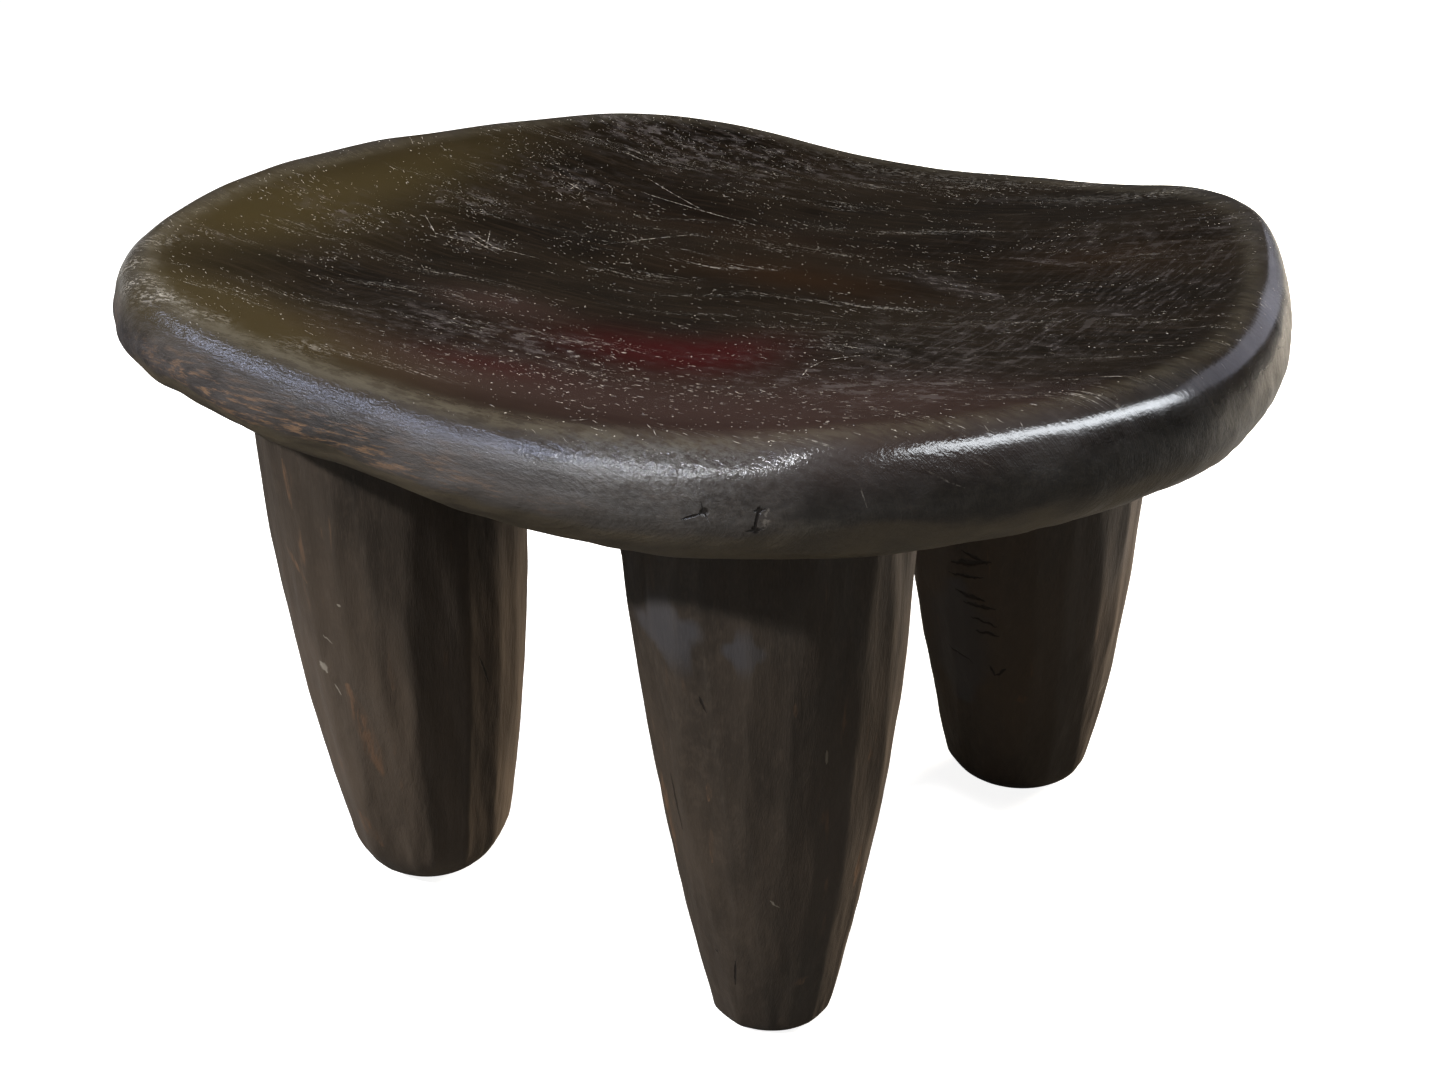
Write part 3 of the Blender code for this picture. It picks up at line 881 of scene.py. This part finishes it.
def seat_finish(groups):
    """Polished patina on the top, a worn crest, a dustier side and a raw, dull underside."""
    material, tree, shader = new_material("seat patina")
    mask, product, raised, lowered, tint, ramp, cloud, most_of = helpers(tree)
    on_top = mask("on_top")
    crest = mask("crest")
    rough_left = mask("rough_left")
    here = placed(tree, (1, 1, 1))
    flat = placed(tree, (1, 1, 0))
    sway = put(tree, "ShaderNodeTexNoise", {"Vector": here, "Scale": 13.0, "Detail": 1.0}).outputs["Color"]
    sway = vector_calc(tree, "SUBTRACT", sway, (0.5, 0.5, 0.5))
    inputs = {0: sway, 1: (0, 0.02, 0), 2: flat}
    swayed = put(tree, "ShaderNodeVectorMath", inputs, operation="MULTIPLY_ADD").outputs[0]

    def laid(vector, scale, turn=0.0):
        """A vector, scaled and turned about Z."""
        return mapped(tree, vector, scale, (0, 0, turn))

    def dots(scale, turn, share):
        """Pores or dashes over the seat."""
        return use(tree, groups["dashes"], {"Vector": laid(swayed, scale, turn), "Share": share})

    def scratches(scale, turn, share, fan, width):
        """Short scratches over the seat, that fan out by an angle."""
        inputs = {"Vector": laid(swayed, scale, turn), "Share": share, "Spread": fan, "Width": width}
        return use(tree, groups["strokes"], inputs)

    # The top's colours
    fibre = use(tree, groups["fibre"], {"Vector": laid(swayed, (110, 560, 560))})
    patchy = cloud(laid(here, (13, 26, 26)), 3.0, 0.6)
    top = tint(ramp(patchy, 0.35, 0.68), DEEP_PATINA, LIGHT_PATINA)
    top = tint(product(ramp(fibre, 0.48, 0.62), 0.7), top, BROWN_FIBRE)
    # The red and olive tints among these are painted reflections
    for name, strength, shade in TOP_TINTS:
        top = tint(product(mask(name), strength), top, shade)

    # The side's and the belly's colours, the worn crest and the line of dust
    blotch = cloud(laid(here, (28, 60, 60)), 4.0, 0.6)
    grime = cloud(laid(here, (120, 420, 420)), 4.0, 0.7)
    side = tint(ramp(blotch, 0.35, 0.65), DARK_SIDE, LIGHT_SIDE)
    side = tint(product(ramp(grime, 0.48, 0.66), 0.5), side, PALE_GRIME)
    side = tint(product(ramp(grime, 0.46, 0.34), 0.5), side, DARK_GRIME)
    streak = ramp(cloud(laid(here, (75, 620, 800), 0.06), 4.0, 0.7), 0.50, 0.62)
    bare = product(streak, most_of(mask("bare"), product(rough_left, ramp(blotch, 0.5, 0.6), 0.5)))
    # The last of these side tints is painted shade
    for name, strength, shade in SIDE_TINTS:
        side = tint(product(mask(name), strength), side, shade)
    # Warmer and paler low on the right face past the corner as painted bounce light from the floor, and on
    # the right end as dust
    lower = product(mask("bounce_lit_lower_right"), ramp(grime, 0.35, 0.6, 0.4, 0.9))
    lower = most_of(lower, product(mask("right_end"), ramp(grime, 0.35, 0.6, 0.3, 0.9)))
    side = tint(lower, side, WARM_DUST_AND_BOUNCE_LIGHT)
    side = tint(bare, side, BARE_WOOD)
    raw_colour = tint(ramp(blotch, 0.3, 0.7), DARK_BELLY, LIGHT_BELLY)
    side = tint(mask("on_belly"), side, raw_colour)
    dust_line = product(mask("dust_line"), ramp(grime, 0.40, 0.60, 0.4, 1.0), 0.85)
    top = tint(dust_line, top, LINE_DUST)
    colour = tint(on_top, side, top)
    worn = product(crest, ramp(blotch, 0.3, 0.6, 0.1, 0.4))
    colour = tint(worn, colour, WORN_CREST)
    pitted = cloud(laid(here, (420, 700, 700)), 3.0, 0.7)
    # Pale spots on the worn corner: partly real rubbed dust, partly a painted sparkle of sky and sun
    rubbed_and_sheen = product(mask("corner"), ramp(pitted, 0.36, 0.64, 0.2, 1.0))
    colour = tint(product(rubbed_and_sheen, 0.7), colour, CORNER_DUST_AND_SHEEN)

    # The marks on the top and the side
    drift = ramp(cloud(laid(here, (30, 44, 30)), 3.0), 0.40, 0.66)
    dust = product(drift, mask("dusty"))
    pores = dots((560, 1500, 1), 0, product(dust, 0.11))
    specks = dots((900, 1150, 1), 0.3, raised(product(dust, 0.08), 0.014))
    strokes = scratches((150, 150, 1), 0, product(dust, 0.28), 1.4, 0.018)
    nicks = scratches((300, 300, 1), 0.3, product(drift, 0.13), 0.8, 0.030)
    hairs = use(tree, groups["hairs"], {"Vector": laid(swayed, (26, 700, 700), 0.12), "Amount": 0.6})
    broken = ramp(cloud(laid(here, (700, 700, 700)), 2.0), 0.42, 0.60)
    scuffed = mask("scuffed")
    scribbles = scratches((440, 600, 1), 0.8, product(scuffed, 0.42), 2.6, 0.045)
    chips = product(ramp(cloud(laid(here, (330, 900, 900)), 3.0, 0.7), 0.50, 0.60), mask("chipped"), 0.4)
    marks = drawn(tree, groups, flat, SEAT_MARKS)
    split = put(tree, "ShaderNodeSeparateXYZ", {0: here}).outputs
    upright = put(tree, "ShaderNodeCombineXYZ", {0: split[0], 1: split[2]}).outputs[0]
    side_marks = drawn(tree, groups, upright, SIDE_MARKS)
    hole = product(side_marks["hole"], mask("on_front"))
    lines = most_of(product(strokes, 0.8), marks["scratch"], product(hairs, 0.5))
    pale = most_of(pores, specks, product(nicks, 0.6), product(lines, ramp(broken, 0, 1, 0.15, 1)))
    front_dashes = dots((190, 1300, 1), 0.05, product(mask("dashed"), 0.6))
    front_dashes = product(front_dashes, ramp(broken, 0, 1, 0.15, 0.75))
    pale = most_of(pale, product(scribbles, 0.55), front_dashes)
    pale = most_of(product(pale, mask("in_dish")), product(chips, on_top))
    # A pale film over the top: real haze, scours and smears, with painted sheen and reflections in some
    # patches and painted glints at the pits
    haze = ramp(cloud(laid(here, (120, 260, 260)), 4.0, 0.7), 0.45, 0.75)
    film_and_sheen = product(haze, most_of(mask("haze_and_painted_sheen"), product(scuffed, 0.8)))
    scoured = cloud(laid(here, (520, 70, 70), 0.35), 3.0, 0.7)
    scoured = product(ramp(scoured, 0.48, 0.62), ramp(haze, 0.1, 0.6, 0.3, 1.0), mask("scoured"))
    film_and_sheen = most_of(film_and_sheen, scoured, product(marks["smears_and_painted_glints"], ramp(haze, 0, 0.7, 0.1, 0.8)))
    colour = tint(product(film_and_sheen, 0.7), colour, FILM_AND_PAINTED_SHEEN)
    pale = most_of(pale, product(side_marks["scratch"], mask("on_front"), broken, 0.16))
    colour = tint(pale, colour, PORE_DUST)
    # Painted shade inside the worm hole, its crack and the slit
    colour = tint(product(hole, 0.9), colour, PAINTED_SHADE_IN_HOLE)

    # How rough it is
    top_rough = ramp(patchy, 0.3, 0.7, 0.16, 0.26)
    dull = most_of(rough_left, mask("dusty_front"))
    side_rough = raised(ramp(blotch, 0.3, 0.7, 0.30, 0.44), product(dull, 0.45))
    polish = lowered(0.07, product(rough_left, 0.02))
    top_rough = lowered(top_rough, product(crest, polish))
    rough = put(tree, "ShaderNodeMix", {0: on_top, 2: side_rough, 3: top_rough}).outputs[0]
    rough = raised(rough, product(most_of(pale, film_and_sheen), 0.25))

    # Its finest relief
    relief = product(pitted, ramp(on_top, 0, 1, 0.35, 0.12))
    relief = raised(relief, product(fibre, ramp(on_top, 0, 1, 0.5, 0.2)))
    relief = lowered(relief, raised(product(marks["pit"], 1.2), product(hole, 2.5)))
    relief = raised(relief, product(mask("corner"), pitted, 0.4))
    relief = raised(relief, product(grime, ramp(on_top, 0, 1, 0.7, 0)))
    relief = raised(relief, product(grime, crest, rough_left, 1.3))
    nubbly = cloud(laid(here, (300, 300, 300)), 3.0, 0.6)
    nubs = most_of(mask("left_end"), product(crest, rough_left, 0.25), product(mask("corner"), 0.8))
    nubs = most_of(nubs, product(mask("corner_right"), 0.3))
    relief = raised(relief, product(nubbly, nubs, 2.4))
    relief = raised(relief, product(pitted, crest, 0.08))
    bump = put(tree, "ShaderNodeBump", {"Height": relief, "Distance": SEAT_RELIEF_DEPTH, "Strength": 0.6})
    fill(tree, shader, {"Base Color": colour, "Roughness": rough, "Normal": bump.outputs[0]})
    return material


def leg_finish(groups):
    """Dull dark wood with fibres up the leg, dust low down and on the creases, cracks and worn streaks."""
    material, tree, shader = new_material("leg wood")
    mask, product, raised, lowered, tint, ramp, cloud, most_of = helpers(tree)
    facing = mask("facing")
    here = placed(tree, (1, 1, 1), (0, 0, -math.radians(CAMERA_AZIMUTH)))
    split = put(tree, "ShaderNodeSeparateXYZ", {0: here}).outputs
    wobble = product(lowered(cloud(placed(tree, (300, 300, 300)), 2.0), 0.5), 0.003)
    upright = put(tree, "ShaderNodeCombineXYZ", {0: split[0], 1: raised(split[2], wobble)}).outputs[0]
    marks = drawn(tree, groups, upright, LEG_MARKS)
    fibre = use(tree, groups["fibre"], {"Vector": placed(tree, (160, 700, 700), (0, math.pi / 2, 0))})
    blotch = cloud(placed(tree, (40, 40, 16)), 4.0, 0.6)
    grain = cloud(placed(tree, (500, 500, 90)), 3.0, 0.7)
    colour = tint(ramp(blotch, 0.35, 0.65), DARK_LEG, LIGHT_LEG)
    colour = tint(product(ramp(fibre, 0.45, 0.7), 0.5), colour, LEG_FIBRE)
    dust = product(ramp(mask("up_leg"), 0.95, 0.35), ramp(blotch, 0.3, 0.7, 0.5, 0.9), mask("dusty"))
    colour = tint(dust, colour, LEG_DUST)
    streak = ramp(cloud(placed(tree, (220, 220, 30)), 3.0), 0.62, 0.70)
    warm = product(streak, ramp(blotch, 0.5, 0.65, 0, 0.8))
    worn = product(marks["worn"], facing, ramp(grain, 0.42, 0.60, 0.15, 1.0))
    colour = tint(most_of(warm, worn), colour, WORN_LEG)
    # Painted bluish sky light and sheen on the legs
    colour = tint(product(marks["painted_sky_light"], facing, 0.65), colour, PAINTED_SKY_LIGHT_ON_LEG)
    colour = tint(product(mask("crease"), 0.18), colour, CREASE_DUST)
    colour = tint(product(marks["pale"], facing, 0.7), colour, PALE_NICK)
    cracks = product(marks["crack"], facing)
    # Painted shade inside the cracks
    colour = tint(product(cracks, 0.8), colour, PAINTED_SHADE_IN_CRACK)
    rough = ramp(blotch, 0.3, 0.7, 0.48, 0.68)
    relief = lowered(raised(fibre, grain), product(cracks, 3.0))
    bump = put(tree, "ShaderNodeBump", {"Height": relief, "Distance": LEG_RELIEF_DEPTH, "Strength": 0.5})
    fill(tree, shader, {"Base Color": colour, "Roughness": rough, "Normal": bump.outputs[0]})
    return material


def toward(direction):
    """A unit vector from a compass direction and an elevation in degrees."""
    turn, rise = np.radians(direction)
    return np.array([math.cos(turn) * math.cos(rise), math.sin(turn) * math.cos(rise), math.sin(rise)])


def stand(holder, across, up, back, place):
    """Puts a camera or a lamp in its place: it looks along its own -Z."""
    matrix = np.eye(4)
    matrix[:3, :] = np.stack([across, up, back, place], axis=1)
    holder.matrix_world = mathutils.Matrix(matrix.tolist())
    bpy.context.scene.collection.objects.link(holder)


def panel_light(name, start, end, distance, width, power, colour):
    """A flat lamp that faces the stool and spans from one direction to another."""
    back = toward(start) + toward(end)
    back /= np.linalg.norm(back)
    span = distance * (toward(end) - toward(start))
    across = span if np.any(span) else np.cross([0, 0, 1], back)
    across = across - back * (across @ back)
    across /= np.linalg.norm(across)
    lamp = bpy.data.lights.new(name, "AREA")
    lamp.shape = "RECTANGLE"
    lamp.size = np.linalg.norm(span) + width
    lamp.size_y = width
    lamp.energy = power
    lamp.color = colour
    holder = bpy.data.objects.new(name, lamp)
    holder.visible_glossy = name not in UNMIRRORED_LAMPS
    holder.visible_diffuse = name not in MIRRORED_ONLY_LAMPS
    stand(holder, across, np.cross(back, across), back, back * distance + LAMP_AIM)


def build_floor():
    """A wide pale floor that keeps the stool's shadow, white to the camera."""
    bpy.ops.mesh.primitive_plane_add(size=FLOOR_SIZE, location=(0, 0, 0))
    floor = bpy.context.object
    floor.name = "floor"
    material, tree, shader = new_material("pale floor")
    path = put(tree, "ShaderNodeLightPath").outputs
    colour = mix(tree, path["Is Camera Ray"], FLOOR_COLOUR, FLOOR_COLOUR_TO_CAMERA)
    fill(tree, shader, {"Base Color": colour, "Roughness": 0.9, "Specular IOR Level": 0.0})
    here = put(tree, "ShaderNodeTexCoord").outputs["Object"]
    away = vector_calc(tree, "DOT_PRODUCT", here, tuple(toward((SUNLIT_DEGREES, 0))), "Value")
    sunlit = spread(tree, away, SUNLIT_START, SUNLIT_END, FLOOR_GLOSSY_SHARE, SUNLIT_GLOSSY_SHARE)
    glossy = times(tree, path["Is Glossy Ray"], sunlit)
    seen = most(tree, path["Is Camera Ray"], most(tree, glossy, path["Is Transmission Ray"]))
    glow = put(tree, "ShaderNodeEmission", {"Color": WHITE, "Strength": times(tree, seen, FLOOR_GLOW)})
    both = put(tree, "ShaderNodeAddShader", {0: shader.outputs[0], 1: glow.outputs[0]})
    tree.links.new(both.outputs[0], tree.nodes["Material Output"].inputs["Surface"])
    floor.data.materials.append(material)


def build_world():
    """A dim even sky, white to the camera."""
    world = bpy.data.worlds.new("studio")
    bpy.context.scene.world = world
    world.use_nodes = True
    tree = world.node_tree
    path = put(tree, "ShaderNodeLightPath").outputs
    colour = mix(tree, path["Is Camera Ray"], WORLD_COLOUR, WHITE)
    fill(tree, tree.nodes["Background"], {"Color": colour, "Strength": 1.0})


def build_camera():
    """The camera at the photograph's place, looking at its target and rolled a little."""
    azimuth, elevation, roll = (math.radians(v) for v in (CAMERA_AZIMUTH, CAMERA_ELEVATION, CAMERA_ROLL))
    level = math.cos(elevation)
    back = np.array([math.sin(azimuth) * level, -math.cos(azimuth) * level, math.sin(elevation)])
    right = np.array([math.cos(azimuth), math.sin(azimuth), 0])
    up = np.cross(back, right)
    rolled_right = right * math.cos(roll) + up * math.sin(roll)
    rolled_up = -right * math.sin(roll) + up * math.cos(roll)
    camera = bpy.data.objects.new("camera", bpy.data.cameras.new("camera"))
    stand(camera, rolled_right, rolled_up, back, np.array(CAMERA_TARGET) + back * CAMERA_DISTANCE)
    camera.data.lens = CAMERA_LENS_MM
    camera.data.sensor_width = SENSOR_MM
    camera.data.sensor_fit = "HORIZONTAL"
    camera.data.clip_start = 0.01
    bpy.context.scene.camera = camera


def main():
    """Builds the finishes, the seat and its legs, the stage, the lamps and the camera."""
    groups = {
        "dashes": dashes_group(),
        "strokes": strokes_group(),
        "stroke": stroke_group(),
        "hairs": hairs_group(),
        "fibre": fibre_group(),
    }
    patina = seat_finish(groups)
    leg_wood = leg_finish(groups)
    seat = build_seat()
    seat.data.materials.append(patina)
    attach(seat, "root")
    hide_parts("seat")
    for name in LEGS:
        leg = build_leg(name)
        leg.data.materials.append(leg_wood)
        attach(leg, "root")
        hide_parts(name)
    build_floor()
    build_world()
    for name, lamp in LAMPS.items():
        panel_light(name, *lamp)
    build_camera()
    bpy.context.scene.view_settings.view_transform = "Standard"


main()
